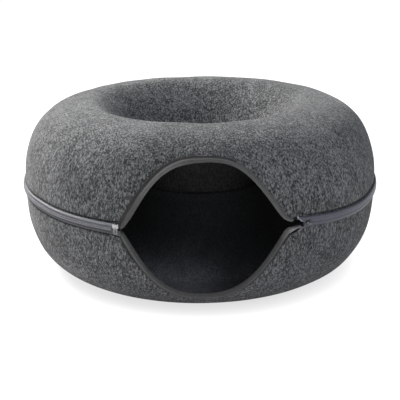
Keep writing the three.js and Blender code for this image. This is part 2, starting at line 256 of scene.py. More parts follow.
def felt_shell(name, edge, wall, rest_of_section, widths, seam_depths, materials):
    """A half of the ring: a curved sheet from its cut edge to the hole, then thickened inwards.

    The seams beside the binding's flap and the zip draw the felt in. How deep a seam is at an angle is kept
    on the mesh as a crease, with the shell's end at the lap fully creased, for the material's painted shade.
    """
    angles = ring_columns()
    heights = edge_height(angles, edge)
    nudge = 0.02
    climb = edge_height(angles + nudge, edge) - edge_height(angles - nudge, edge)
    columns = []
    crease_shades = []
    for angle, height, rise in zip(angles, heights, climb):
        turns = np.linspace(turn_at(wall, height), math.pi / 2, SECTION_SAMPLES)
        radius, level = wall_point(wall, turns)
        radius = np.concatenate([radius, rest_of_section[0]])
        level = np.concatenate([level, rest_of_section[1]])
        steps = np.hypot(np.diff(radius), np.diff(level))
        keep = np.concatenate([[True], steps > SAME_PLACE])
        radius, level = radius[keep], level[keep]
        along = np.concatenate([[0], np.cumsum(np.hypot(np.diff(radius), np.diff(level)))])
        even = np.linspace(EDGE_ROWS[-1], along[-1], SECTION_ROWS + 1)[1:]
        rows = np.concatenate([EDGE_ROWS, even])
        out_r, out_z = np.gradient(level, along), -np.gradient(radius, along)
        place_r, place_z = np.interp(rows, along, radius), np.interp(rows, along, level)
        normal_r, normal_z = np.interp(rows, along, out_r), np.interp(rows, along, out_z)
        slope = rise / (wall["side"] * math.radians(2 * nudge))
        from_edge = rows / math.hypot(1, slope)
        bound = edge["bound"][0] < angle < edge["bound"][1]
        seam = flap_width(widths, angle) + SEAM_BESIDE_FLAP if bound else SEAM_BESIDE_ZIP
        crease = read_pairs(seam_depths, angle) * np.exp(-(((from_edge - seam) / SEAM_WIDTH) ** 2))
        tuck_middle, tuck_spread, tuck_reach = edge["tuck"]
        tuck = math.exp(-(((angle - tuck_middle) / tuck_spread) ** 4))
        tucked_in = 1 - smooth_ramp(from_edge, TUCK_FULL_SHARE * tuck_reach, tuck_reach)
        crease = crease + TUCK_DEPTH * tuck * tucked_in
        flat = ring_point(angle, place_r, place_z)
        to_end = along[-1] - rows
        swell = LUMP_HEIGHT * lumps(flat) * smooth_ramp(rows, *LUMPS_FROM_EDGE)
        swell *= smooth_ramp(place_z, *LUMPS_FROM_FLOOR) * smooth_ramp(to_end, *LUMPS_FROM_END)
        move = (swell - SEAM_PULL * crease) * edge["side"]
        columns.append(ring_point(angle, place_r + move * normal_r, place_z + move * normal_z))
        # The crease, clipped and full at the shell's end, is kept for the felt's painted shade in creases.
        crease_shades.append(np.clip(crease + 1 - smooth_ramp(to_end, *END_CREASE), 0, 1))
    points = np.array(columns)
    across, down = points.shape[:2]
    faces = []
    for i in range(across):
        here, beside = i * down, (i + 1) % across * down
        for j in range(down - 1):
            quad = [here + j, beside + j, beside + j + 1, here + j + 1]
            faces.append(quad if edge["side"] > 0 else quad[::-1])
    shell = make_piece(name, points, faces, materials)
    keep_on_points(shell, "crease", crease_shades)
    apply_modifier(
        shell, "SOLIDIFY", thickness=FELT_THICKNESS, offset=-1, use_even_offset=True, material_offset=1
    )
    shade_smooth(shell, 50)
    return shell


def add_node(tree, kind, inputs=None, **settings):
    """A shader node with its settings, its inputs set to values or linked from sockets."""
    node = tree.nodes.new(kind)
    for name, value in settings.items():
        setattr(node, name, value)
    for name, value in (inputs or {}).items():
        if isinstance(value, bpy.types.NodeSocket):
            tree.links.new(value, node.inputs[name])
        else:
            node.inputs[name].default_value = value
    return node


def object_place(tree):
    """Output of a Texture Coordinate node with the place on the object."""
    return add_node(tree, "ShaderNodeTexCoord").outputs["Object"]


def calculate(tree, operation, first, second=0.0, third=0.0, clamp=False):
    """Output of a Math node."""
    values = {0: first, 1: second, 2: third}
    return add_node(tree, "ShaderNodeMath", values, operation=operation, use_clamp=clamp).outputs[0]


def noise(tree, vector, scale, detail=1.0):
    """Noise node at a scale in waves a metre."""
    return add_node(tree, "ShaderNodeTexNoise", {"Vector": vector, "Scale": scale, "Detail": detail})


def blend_colours(tree, share, first, second):
    """Output of a Mix node for colours, whose sockets for colours are its seventh and eighth."""
    inputs = {0: share, 6: first, 7: second}
    node = add_node(tree, "ShaderNodeMix", inputs, data_type="RGBA")
    return node.outputs[2]


def start_group(name, inputs, outputs):
    """A shader node group with named sockets, its input node and its output node."""
    group = bpy.data.node_groups.new(name, "ShaderNodeTree")
    for label, kind in inputs:
        group.interface.new_socket(label, in_out="INPUT", socket_type=kind)
    for label, kind in outputs:
        group.interface.new_socket(label, in_out="OUTPUT", socket_type=kind)
    return group, group.nodes.new("NodeGroupInput"), group.nodes.new("NodeGroupOutput")


# Scale in waves a metre, width and amount of each kind of strand: the pale ones add to the shade.
FIBRE_STRANDS = {
    "pale_strands": (190, 0.055, 0.31),
    "dark_strands": (168, 0.055, -0.4),
    "fine_pale": (540, 0.06, 0.3),
    "fine_dark": (610, 0.06, -0.3),
    "pale_hairs": (1500, 0.09, 0.28),
    "dark_hairs": (1700, 0.09, -0.3),
}
FIBRE_LEVEL = 0.53
FIBRE_UPRIGHT = (1, 1, 0.5)
FIBRE_SWAY = (0.004, 0.004, 0.004)
DARK_FIBRE_SHIFT = (3.1, 1.7, 5.3)


def thin_lines(tree, vector, scale, width):
    """Mask of thin winding strands, where a noise crosses its middle value."""
    level = noise(tree, vector, scale, 2.0).outputs[0]
    off = calculate(tree, "ABSOLUTE", calculate(tree, "SUBTRACT", level, 0.5))
    return calculate(tree, "SUBTRACT", 1.0, calculate(tree, "DIVIDE", off, width, clamp=True))


def heathered_fibres():
    """Group for the felt's matted fibres: light and dark strands over a grainy ground."""
    colour, value = "NodeSocketColor", "NodeSocketFloat"
    group, taken, given = start_group(
        "heathered_fibres",
        [("Dark", colour), ("Middle", colour), ("Light", colour)],
        [("Color", colour), ("Height", value)],
    )
    place = object_place(group)
    upright = add_node(group, "ShaderNodeMapping", {"Vector": place, "Scale": FIBRE_UPRIGHT}).outputs[0]
    sway = {0: noise(group, upright, 130, 2.0).outputs["Color"], 1: FIBRE_SWAY, 2: upright}
    swayed = add_node(group, "ShaderNodeVectorMath", sway, operation="MULTIPLY_ADD").outputs[0]
    shift = {0: swayed, 1: DARK_FIBRE_SHIFT}
    shifted = add_node(group, "ShaderNodeVectorMath", shift, operation="ADD").outputs[0]
    level = FIBRE_LEVEL
    strands = {}
    for name, (scale, width, amount) in FIBRE_STRANDS.items():
        strands[name] = thin_lines(group, swayed if amount > 0 else shifted, scale, width)
        level = calculate(group, "MULTIPLY_ADD", strands[name], amount, level)
    grain = noise(group, upright, 390, 1.2).outputs[0]
    clumps = noise(group, upright, 60, 2.0).outputs[0]
    tone = noise(group, place, 9).outputs[0]
    for part, amount in ((grain, 1.75), (clumps, 0.5), (tone, 0.42)):
        part = calculate(group, "SUBTRACT", part, 0.5)
        level = calculate(group, "MULTIPLY_ADD", part, amount, level)
    below = calculate(group, "MULTIPLY", level, 2.0, clamp=True)
    above = calculate(group, "MULTIPLY_ADD", level, 2.0, -1.0, clamp=True)
    ground = blend_colours(group, below, taken.outputs["Dark"], taken.outputs["Middle"])
    mixed = blend_colours(group, above, ground, taken.outputs["Light"])
    height = calculate(group, "MULTIPLY_ADD", strands["pale_strands"], 0.5, grain)
    height = calculate(group, "MULTIPLY_ADD", strands["fine_pale"], 0.3, height)
    group.links.new(mixed, given.inputs["Color"])
    group.links.new(height, given.inputs["Height"])
    return group


def start_material(name):
    """A material with an empty tree but for its shader and its output."""
    material = bpy.data.materials.new(name)
    material.use_nodes = True
    tree = material.node_tree
    shader = tree.nodes["Principled BSDF"]
    return material, tree, shader


def raise_surface(tree, shader, height, strength, distance):
    """Feeds a height to the shader's normal."""
    bump = add_node(tree, "ShaderNodeBump", {"Height": height, "Strength": strength, "Distance": distance})
    tree.links.new(bump.outputs["Normal"], shader.inputs["Normal"])


# Share of the felt's colour left at the deepest crease: painted shade in the grooves beside the seams.
PAINTED_CREASE_SHADE = 0.12
# Painted light on the lower shell's inner felt: the dark share on its walls, the share left away from the lit
# left, and where the lit patch fades across, up and by how far the felt faces up.
INNER_SHADE = 0.06
UNLIT_SHARE = 0.3
LIT_ACROSS = (-0.02, 0.06)
LIT_UP_TO = (0.08, 0.12)
LIT_FACING = (0.2, 0.85)


def painted_shade_in_creases(tree):
    """Painted shade: 1 on open felt, falling to a dark share in the creases beside the seams and at the lap's
    edge.
    """
    crease = add_node(tree, "ShaderNodeAttribute", attribute_name="crease").outputs["Fac"]
    return calculate(tree, "MULTIPLY_ADD", crease, PAINTED_CREASE_SHADE - 1, 1.0)


def ramp(tree, value, limits, at_low, at_high):
    """Output of a Map Range node with a smooth rise or fall between two limits."""
    low, high = limits
    inputs = {"Value": value, "From Min": low, "From Max": high, "To Min": at_low, "To Max": at_high}
    return add_node(tree, "ShaderNodeMapRange", inputs, interpolation_type="SMOOTHSTEP").outputs[0]


def painted_entrance_light(tree):
    """Painted light and shade: bright on the floor's left, where the entrance's light falls, and a dark share
    of that elsewhere.
    """
    facing = add_node(tree, "ShaderNodeNewGeometry").outputs["Normal"]
    up = add_node(tree, "ShaderNodeSeparateXYZ", {"Vector": facing}).outputs["Z"]
    spot = add_node(tree, "ShaderNodeSeparateXYZ", {"Vector": object_place(tree)}).outputs
    left = ramp(tree, spot["X"], LIT_ACROSS, 1.0, UNLIT_SHARE)
    low = ramp(tree, spot["Z"], LIT_UP_TO, left, INNER_SHADE)
    return ramp(tree, up, LIT_FACING, INNER_SHADE, low)


def felt_material(name, fibres, shades, sheen, dimming, painted_glow=0.0):
    """Felt of three shades of fibre, dimmed to a painted shade where a function of its tree says so.

    The haze is a faint painted glow, standing for the little light that the deepest shadow keeps.
    """
    material, tree, shader = start_material(name)
    strands = add_node(tree, "ShaderNodeGroup", node_tree=fibres)
    for label, shade in zip(("Dark", "Middle", "Light"), shades):
        strands.inputs[label].default_value = (*shade, 1)
    dimmed = {"Vector": strands.outputs["Color"], "Scale": dimming(tree)}
    colour = add_node(tree, "ShaderNodeVectorMath", dimmed, operation="SCALE").outputs[0]
    tree.links.new(colour, shader.inputs["Base Color"])
    raise_surface(tree, shader, strands.outputs["Height"], 0.5, 0.0007)
    shader.inputs["Roughness"].default_value = 0.95
    shader.inputs["Specular IOR Level"].default_value = 0.2
    shader.inputs["Sheen Weight"].default_value = sheen
    shader.inputs["Sheen Roughness"].default_value = 0.6
    shader.inputs["Emission Color"].default_value = (0.9, 1.0, 0.97, 1)
    shader.inputs["Emission Strength"].default_value = painted_glow
    return material


FELT_SHADES = [(0.012, 0.0125, 0.0135), (0.082, 0.0845, 0.088), (0.27, 0.275, 0.283)]
FELT_SHEEN = 0.12
# The inner floor felt's shades are far paler than the outer felt's, so that the painted light can be dimmed
# from them.
LIT_FLOOR_SHADES = [(0.24, 0.25, 0.284), (0.42, 0.436, 0.488), (0.66, 0.68, 0.75)]
INNER_PAINTED_GLOW = 0.0022
fibres = heathered_fibres()
outer_felt = felt_material("charcoal_felt", fibres, FELT_SHADES, FELT_SHEEN, painted_shade_in_creases)
floor_felt = felt_material("inner_floor_felt_painted_light", fibres, LIT_FLOOR_SHADES, 0.0, painted_entrance_light, INNER_PAINTED_GLOW)

hole_turns = np.linspace(math.pi / 2, turn_at(LOWER_HOLE, LAP_FOOT), HOLE_SAMPLES)
base_r, base_z = wall_point(LOWER_HOLE, hole_turns)
step = np.linspace(0, 1, LAP_SAMPLES)[1:]
lap_r = base_r[-1] + (LAP_RADIUS - base_r[-1]) * smooth_ramp(step, 0, 1)
lap_z = LAP_FOOT + (LAP_LOW - LAP_FOOT) * step
lower_rest = (np.concatenate([base_r, lap_r, [LAP_RADIUS]]), np.concatenate([base_z, lap_z, [LAP_TOP]]))
lower_shell = felt_shell(
    "lower_shell_felt",
    LOWER_EDGE,
    LOWER_WALL,
    lower_rest,
    LOWER_CREASE,
    LOWER_SEAM,
    [outer_felt, floor_felt],
)
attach(lower_shell, "root")
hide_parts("lower_shell")


# Upper shell
# The top half of the ring, moulded from a second blank of the same felt. Its outer edge is trimmed
# along the zip and the upper half of the entrance, and its inner edge ends inside the lap.

UPPER_WALL = {"side": 0.300, "level": 0.188, "height": 0.280, "fullness": 2.44}
UPPER_HOLE = {"side": 0.104, "level": 0.188, "height": 0.280, "fullness": 1.6}
UPPER_EDGE = {
    "side": 1,
    "rise": 0.1024,
    "left": (24.1, 3.0, 1.3),
    "right": (26.8, 3.3, 2.4),
    "bound": (-24.4, 26.6),
    "tuck": (26.45, 0.55, 0.0065),
}
UPPER_HOLE_SAMPLES = 240
UPPER_FLAP = [(-24, 8.6), (-13, 8.0), (0, 6.6), (12, 5.2), (27, 4.0)]
UPPER_SEAM = [
    (-180, 1.0), (-26, 1.1), (-24, 0.2), (8, 0.2), (13, 0.45),
    (24, 0.4), (26.4, 0.2), (27, 0.8), (45, 1.25), (180, 1.1),
]
# The roof inside is the same felt, painted darker and flatter in tone: painted shade inside the ring.
SHADED_ROOF_TONES = [(0.025, 0.0265, 0.025), (0.044, 0.047, 0.044), (0.072, 0.076, 0.072)]
roof_felt = felt_material("inner_roof_felt_painted_shade", fibres, SHADED_ROOF_TONES, 0.0, painted_shade_in_creases)
upper_rest = wall_point(UPPER_HOLE, np.linspace(math.pi / 2, 0, UPPER_HOLE_SAMPLES))
upper_shell = felt_shell(
    "upper_shell_felt",
    UPPER_EDGE,
    UPPER_WALL,
    upper_rest,
    UPPER_FLAP,
    UPPER_SEAM,
    [outer_felt, roof_felt],
)
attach(upper_shell, "root")
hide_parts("upper_shell")


# Lap stitches
# One row of strong dark thread around the hole, which sews the lower shell's lapped wall
# to the end of the upper shell behind it. It shows on the hole's side of the lap.

LAP_STITCH_HEIGHT = 0.1485
LAP_STITCHES = 124
LAP_STITCH_LENGTH = 0.0036
LAP_STITCH_THICKNESS = 0.0008
STITCH_SIDES = 6
STITCH_TIP_INSET = 0.2
STITCH_TIP_LENGTH = 0.25
STITCH_TIP_SINKS = 0.35


def select_corners(piece, test):
    """Selects in edit mode the corners whose place passes the test."""
    choose(piece)
    bpy.ops.object.mode_set(mode="EDIT")
    bpy.ops.mesh.select_mode(type="VERT")
    bpy.ops.mesh.select_all(action="DESELECT")
    bpy.ops.object.mode_set(mode="OBJECT")
    for corner in piece.data.vertices:
        corner.select = bool(test(corner.co))
    bpy.ops.object.mode_set(mode="EDIT")


def model_stitch(length, thickness):
    """One stitch along X on the cloth's face, its ends rounded and sunk into the cloth."""
    bpy.ops.object.select_all(action="DESELECT")
    bpy.ops.mesh.primitive_cylinder_add(vertices=STITCH_SIDES, radius=thickness / 2, depth=length)
    stitch = bpy.context.object
    stitch.data.transform(Matrix.Rotation(math.pi / 2, 4, "Y"))
    select_corners(stitch, lambda place: abs(place.x) > length * 0.49)
    bpy.ops.mesh.select_mode(type="FACE")
    bpy.ops.mesh.inset(thickness=thickness * STITCH_TIP_INSET, depth=thickness * STITCH_TIP_LENGTH)
    bpy.ops.transform.translate(value=(0, 0, -thickness * STITCH_TIP_SINKS))
    bpy.ops.object.mode_set(mode="OBJECT")
    return stitch


def ring_frames(angle, radius, height):
    """Places at angles around the ring: x goes around towards +angle, y is up and z points out."""
    turn = np.radians(np.asarray(angle, float))
    frames = np.zeros((len(turn), 4, 4))
    frames[:, 3, 3] = 1
    frames[:, 0, 0], frames[:, 1, 0] = np.cos(turn), np.sin(turn)
    frames[:, 2, 1] = 1
    frames[:, 0, 2], frames[:, 1, 2] = np.sin(turn), -np.cos(turn)
    frames[:, :3, 3] = ring_point(angle, radius, height)
    return frames


def set_out_copies(name, model, places, materials):
    """One piece that holds a copy of a model at each place. The model itself is removed."""
    places = np.asarray(places)
    corners = np.array([corner.co for corner in model.data.vertices])
    outlines = [list(face.vertices) for face in model.data.polygons]
    points = np.einsum("nij,kj->nki", places[:, :3, :3], corners) + places[:, None, :3, 3]
    count = len(corners)
    faces = [[i * count + k for k in outline] for i in range(len(places)) for outline in outlines]
    bpy.data.objects.remove(model)
    piece = make_piece(name, points, faces, materials)
    shade_smooth(piece, 60)
    return piece


def uneven_colour(tree, shader, scale, detail, dark, light):
    """Blends the shader's colour between two shades over a noise, which is returned."""
    uneven = noise(tree, object_place(tree), scale, detail).outputs[0]
    mixed = blend_colours(tree, uneven, (*dark, 1), (*light, 1))
    tree.links.new(mixed, shader.inputs["Base Color"])
    return uneven


def thread_material(name, shade, rough=0.7):
    """Twisted sewing thread, a little uneven in shade."""
    material, tree, shader = start_material(name)
    darker = tuple(0.6 * part for part in shade)
    strands = uneven_colour(tree, shader, 1400, 2.0, darker, shade)
    raise_surface(tree, shader, strands, 0.4, 0.0002)
    shader.inputs["Roughness"].default_value = rough
    return material


dark_thread = thread_material("dark_thread", (0.05, 0.05, 0.053))
lap_angles = np.arange(LAP_STITCHES) * 360 / LAP_STITCHES
lap_places = ring_frames(lap_angles, LAP_RADIUS, LAP_STITCH_HEIGHT)
lap_places[:, :3, 2] *= -1
lap_places[:, :3, 0] *= -1
lap_stitch = model_stitch(LAP_STITCH_LENGTH, LAP_STITCH_THICKNESS)
lap_stitches = set_out_copies("lap_stitches", lap_stitch, lap_places, [dark_thread])
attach(lap_stitches, "root")


# Entrance bindings
# Dark woven tape, folded over the cut edges of the felt and sewn down through all layers.
# The upper one is wider. Each runs from one corner of the entrance to the other, and its ends are tucked in.

EDGE_RADIUS = 0.295
EDGE_SAMPLES = 6000
BINDING_STEPS = 380
BINDING_TIP_WIDTH = 0.002
BINDING_TAPER = 0.012
BINDING_END_ROUND = 0.0032
BINDING_END_LEAST = 0.12
BINDING_MIDDLE_SHARE = 0.4
BINDING_MIDDLE = -0.0025
# Steps of the fold that show before the tape's inner side, which takes the painted shade.
FOLD_SEEN = 6
# Pairs of an angle and how far the fold stands past the cut edge, as a share of its section.
UPPER_FOLD_REACH = [
    (-24.6, 0.7), (-23.5, 1.0), (-22.5, 1.2), (-21, 1.8), (-18.5, 1.7), (-16, 1.2),
    (-13, 1.0), (-9, 1.5), (-6, 1.8), (-3, 1.2), (0, 0.6), (2, 0.5),
    (6, 0.9), (9, 0.8), (12, 0.5), (19, 0.5), (23, 0.8), (26, 0.5),
]
LOWER_FOLD_REACH = [
    (-24.4, 0.6), (-21, 0.9), (-17.5, 0.5), (-15, 0.8), (0, 0.8),
    (5, 0.7), (10, 0.4), (14, 0.35), (24, 0.4), (28, 0.8),
]
# Depth into the felt as a share of the flap's width, and millimetres out from the felt's face.
UPPER_BINDING_SECTION = [
    (1.00, 0.30), (1.03, 0.80), (0.99, 1.30), (0.90, 1.45), (0.80, 1.15),
    (0.70, 0.92), (0.58, 0.92), (0.45, 1.25), (0.30, 1.80), (0.12, 2.10),
]
LOWER_BINDING_SECTION = [
    (1.00, 0.25), (1.02, 0.45), (0.97, 0.62), (0.84, 0.55), (0.70, 0.55),
    (0.60, 0.75), (0.54, 1.25), (0.44, 1.80), (0.28, 2.10), (0.10, 2.10),
]
# Depth and distance out in millimetres, where the tape turns over the cut edge.
FOLD_SECTION = [
    (-0.4, 1.9), (-1.1, 1.2), (-1.6, 0.1), (-1.85, -1.2), (-1.9, -2.5),
    (-1.85, -3.8), (-1.6, -5.1), (-1.0, -6.3), (0.0, -6.95),
]
# The tape on the felt's inner face, measured as the flap is, and then its side towards the cut edge.
INSIDE_SECTION = [(0.3, -7.0), (0.7, -6.95), (1.0, -6.8), (1.0, -6.0), (0.5, -5.9)]
FELT_SIDE_SECTION = [(-0.1, -5.9), (-0.1, 0.3)]
UPPER_BINDING_ENDS = (-24.5, 25.9)
LOWER_BINDING_ENDS = (-24.2, 28.6)
# Steps of the flap that lie pressed into the seam and take the painted shade, and the angle up to which they
# do.
UPPER_BINDING_SHADED = (7, 9.0)
LOWER_BINDING_SHADED = (6, 24.0)
# Pairs of an angle and the share, from 0 to 1, of the tape's painted light where light falls on it.
UPPER_BINDING_PAINTED_LIGHT = [
    (-24.5, 0.0), (-20, 0.05), (-16.5, 0.75), (-13, 0.8), (-9, 0.5), (-4, 0.1),
    (3, 0.05), (8, 0.2), (12, 0.45), (20, 0.6), (24, 0.8), (25.5, 1.0),
]
LOWER_BINDING_PAINTED_LIGHT = [(22, 0.0), (25, 1.0)]


def edge_path(edge, left_end, right_end, steps):
    """Angles along a cut edge at even distances, with those distances in metres."""
    fine = np.linspace(left_end, right_end, EDGE_SAMPLES)
    line = ring_point(fine, EDGE_RADIUS, edge_height(fine, edge))
    along = np.concatenate([[0], np.cumsum(np.linalg.norm(np.diff(line, axis=0), axis=1))])
    even = np.linspace(0, along[-1], steps)
    return np.interp(even, along, fine), even


def wall_normal(wall, turn):
    """Outward direction of a quarter at a turn, as radius and height."""
    radius, height = wall_point(wall, turn)
    power = wall["fullness"]
    width, rise = wall["side"] - wall["level"], wall["height"] - ZIP_HEIGHT
    across = np.maximum((radius - wall["level"]) / width, 0)
    up = (height - ZIP_HEIGHT) / rise
    normal_r = across ** (power - 1) / width
    normal_z = np.sign(up) * np.abs(up) ** (power - 1) / rise
    size = np.hypot(normal_r, normal_z)
    return normal_r / size, normal_z / size


def lay_on_wall(edge, wall, angle, depth, out):
    """Points at depths into the felt from a cut edge, square to it, and standing out from its face."""
    nudge = 0.05
    height = edge_height(angle, edge)
    climb = edge_height(angle + nudge, edge) - edge_height(angle - nudge, edge)
    turn = turn_at(wall, height)
    radius = wall_point(wall, turn)[0]
    lean = wall_normal(wall, turn)[0]
    around, up = radius * math.radians(2 * nudge), climb / lean
    size = np.hypot(around, up)
    inward_x, inward_y = -up / size * edge["side"], around / size * edge["side"]
    spot = turn_at(wall, height[:, None] + depth * (inward_y * lean)[:, None])
    spot_r, spot_z = wall_point(wall, spot)
    out_r, out_z = wall_normal(wall, spot)
    spot_angle = angle[:, None] + np.degrees(depth * (inward_x / radius)[:, None])
    return ring_point(spot_angle, spot_r + out * out_r, spot_z + out * out_z)


def sweep(name, points, along, painted_shading, materials, shaded=None):
    """A closed strip through loops of points, with a map of metres along and metres around it.

    Each loop's share of painted light and shade, from 0 to 1, is kept on its points for the material. Steps
    between loops that are marked as shaded take the second material, a painted shade.
    """
    loops, size = points.shape[:2]
    ring = np.linalg.norm(np.roll(points, -1, axis=1) - points, axis=2).mean(0)
    around = np.concatenate([[0], np.cumsum(ring)])
    faces, marks = [], []
    for i in range(loops - 1):
        here, ahead = i * size, (i + 1) * size
        for k in range(size):
            beside = (k + 1) % size
            faces.append([here + k, ahead + k, ahead + beside, here + beside])
            low, high = around[k], around[k + 1]
            marks += [(along[i], low), (along[i + 1], low), (along[i + 1], high), (along[i], high)]
    first, last = list(range(size)), [(loops - 1) * size + k for k in range(size)]
    faces += [first, last[::-1]]
    marks += [(along[0], mark) for mark in around[:-1]] + [(along[-1], mark) for mark in around[:-1][::-1]]
    piece = make_piece(name, points, faces, materials)
    if shaded is not None:
        piece.data.polygons.foreach_set("material_index", [*shaded[:-1].ravel().tolist(), 0, 0])
    layer = piece.data.uv_layers.new(name="weave")
    layer.data.foreach_set("uv", np.array(marks, np.float32).ravel())
    choose(piece)
    bpy.ops.object.mode_set(mode="EDIT")
    bpy.ops.mesh.select_all(action="SELECT")
    bpy.ops.mesh.normals_make_consistent(inside=False)
    bpy.ops.object.mode_set(mode="OBJECT")
    shade_smooth(piece, 65)
    keep_on_points(piece, "painted_shading", np.repeat(painted_shading, size))
    return piece


def fold_over_edge(name, edge, wall, widths, reaches, flap, shaded, painted_shading, ends, materials):
    """Tape folded over a cut edge, tapering to its rounded ends. Its inner side takes a painted shade.

    So do the steps of its flap that are pressed into the seam, from its left end up to an angle.
    """
    angle, along = edge_path(edge, *ends, BINDING_STEPS)
    to_end = np.minimum(along, along[-1] - along)
    width = flap_width(widths, angle)
    wide = BINDING_TIP_WIDTH + (width - BINDING_TIP_WIDTH) * smooth_ramp(to_end, 0, BINDING_TAPER)
    wide = wide[:, None]
    reach = read_pairs(reaches, angle)[:, None]
    share_flap, out_flap = np.transpose(flap)
    share_inside, out_inside = np.transpose(INSIDE_SECTION)
    depth_fold, out_fold = np.transpose(FOLD_SECTION)
    depth_felt, out_felt = np.transpose(FELT_SIDE_SECTION)
    rows = np.ones_like(wide)
    depths = [wide * share_flap, reach * (depth_fold / 1000), wide * share_inside, rows * (depth_felt / 1000)]
    depth = np.concatenate(depths, axis=1)
    out = rows * np.concatenate([out_flap, out_fold, out_inside, out_felt]) / 1000
    closing = np.clip(to_end / BINDING_END_ROUND, 0, 1)
    shrink = np.maximum(np.sqrt(1 - (1 - closing) ** 2), BINDING_END_LEAST)[:, None]
    depth_middle = wide * BINDING_MIDDLE_SHARE
    depth = depth_middle + (depth - depth_middle) * shrink
    out = BINDING_MIDDLE + (out - BINDING_MIDDLE) * shrink
    pressed_steps, pressed_until = shaded
    in_shade = np.zeros(depth.shape, int)
    in_shade[:, len(flap) + FOLD_SEEN :] = 1
    in_shade[:, :pressed_steps] = (angle < pressed_until)[:, None]
    points = lay_on_wall(edge, wall, angle, depth, out)
    return sweep(name, points, along, read_pairs(painted_shading, angle), materials, in_shade)


def woven_ribs():
    """Group for woven tape: cross ribs and lengthwise yarns, with a little unevenness of shade."""
    value = "NodeSocketFloat"
    group, taken, given = start_group(
        "woven_ribs",
        [("Rib Pitch", value), ("Yarn Pitch", value)],
        [("Shade", value), ("Height", value)],
    )
    mark = add_node(group, "ShaderNodeUVMap", uv_map="weave").outputs[0]
    parts = add_node(group, "ShaderNodeSeparateXYZ", {"Vector": mark})
    waves = []
    for socket, pitch in ((parts.outputs[0], "Rib Pitch"), (parts.outputs[1], "Yarn Pitch")):
        turns = calculate(group, "DIVIDE", socket, taken.outputs[pitch])
        wave = calculate(group, "SINE", calculate(group, "MULTIPLY", turns, 2 * math.pi))
        waves.append(calculate(group, "MULTIPLY_ADD", wave, 0.5, 0.5))
    weave = calculate(group, "MULTIPLY", waves[0], calculate(group, "MULTIPLY_ADD", waves[1], 0.5, 0.5))
    place = object_place(group)
    uneven = noise(group, place, 260, 3.0).outputs[0]
    slow = noise(group, place, 40, 2.0).outputs[0]
    shade = calculate(group, "MULTIPLY_ADD", weave, 0.35, calculate(group, "MULTIPLY", uneven, 0.45))
    shade = calculate(group, "MULTIPLY_ADD", slow, 0.35, shade)
    height = calculate(group, "MULTIPLY_ADD", uneven, 0.3, weave)
    group.links.new(shade, given.inputs["Shade"])
    group.links.new(height, given.inputs["Height"])
    return group


def tape_material(name, weave, dark, light, pitches, rough, sheen=0.0, gloss=0.5, painted_factor=(1, 1, 1)):
    """Woven tape between two shades, its colour scaled towards a factor of painted light and shade by the
    share kept on its points.
    """
    material, tree, shader = start_material(name)
    cloth = add_node(tree, "ShaderNodeGroup", node_tree=weave)
    cloth.inputs["Rib Pitch"].default_value = pitches[0]
    cloth.inputs["Yarn Pitch"].default_value = pitches[1]
    mixed = blend_colours(tree, cloth.outputs["Shade"], (*dark, 1), (*light, 1))
    painted_shading = add_node(tree, "ShaderNodeAttribute", attribute_name="painted_shading").outputs["Fac"]
    shown = {0: mixed, 1: blend_colours(tree, painted_shading, (1, 1, 1, 1), (*painted_factor, 1))}
    mixed = add_node(tree, "ShaderNodeVectorMath", shown, operation="MULTIPLY").outputs[0]
    tree.links.new(mixed, shader.inputs["Base Color"])
    raise_surface(tree, shader, cloth.outputs["Height"], 0.35, 0.0004)
    shader.inputs["Roughness"].default_value = rough
    shader.inputs["Sheen Weight"].default_value = sheen
    shader.inputs["Specular IOR Level"].default_value = gloss
    return material


BINDING_PITCHES = (0.0016, 0.0007)
weave = woven_ribs()
# The bindings are painted about twice as light where light falls on them, three times at the lower flap's
# free end.
upper_tape_cloth = tape_material(
    "upper_binding_tape",
    weave,
    (0.029, 0.0288, 0.0286),
    (0.116, 0.1148, 0.1135),
    BINDING_PITCHES,
    rough=0.75,
    sheen=0.1,
    painted_factor=(2.05, 2.05, 2.05),
)
lower_tape_cloth = tape_material(
    "lower_binding_tape",
    weave,
    (0.033, 0.0328, 0.033),
    (0.133, 0.132, 0.133),
    BINDING_PITCHES,
    rough=0.75,
    sheen=0.1,
    painted_factor=(3.0, 3.0, 3.0),
)
# The darker cloth for the binding's inner side and for the flap's steps pressed into the seam: painted shade.
seam_shade_cloth = tape_material(
    "binding_painted_shade",
    weave,
    (0.0095, 0.009, 0.0088),
    (0.048, 0.045, 0.044),
    BINDING_PITCHES,
    rough=0.85,
    sheen=0.05,
)
upper_binding = fold_over_edge(
    "upper_binding_tape",
    UPPER_EDGE,
    UPPER_WALL,
    UPPER_FLAP,
    UPPER_FOLD_REACH,
    UPPER_BINDING_SECTION,
    UPPER_BINDING_SHADED,
    UPPER_BINDING_PAINTED_LIGHT,
    UPPER_BINDING_ENDS,
    [upper_tape_cloth, seam_shade_cloth],
)
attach(upper_binding, "root")
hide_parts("upper_binding")
lower_binding = fold_over_edge(
    "lower_binding_tape",
    LOWER_EDGE,
    LOWER_WALL,
    LOWER_FLAP,
    LOWER_FOLD_REACH,
    LOWER_BINDING_SECTION,
    LOWER_BINDING_SHADED,
    LOWER_BINDING_PAINTED_LIGHT,
    LOWER_BINDING_ENDS,
    [lower_tape_cloth, seam_shade_cloth],
)
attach(lower_binding, "root")
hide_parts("lower_binding")


# Binding stitches
# One row of thread along each binding, through the tape and the felt: grey on the upper one and dark
# on the lower one. Each row lies in the hollow of its flap and stops short of the entrance's corners.

BINDING_STITCH_PITCH = 0.0042
BINDING_STITCH_SHARE = 0.74
BINDING_STITCH_THICKNESS = 0.0007
UPPER_SEWING = {"share": 0.64, "out": 0.0011, "ends": (-22.5, 24.8)}
LOWER_SEWING = {"share": 0.75, "out": 0.0007, "ends": (-22.5, 23.0)}


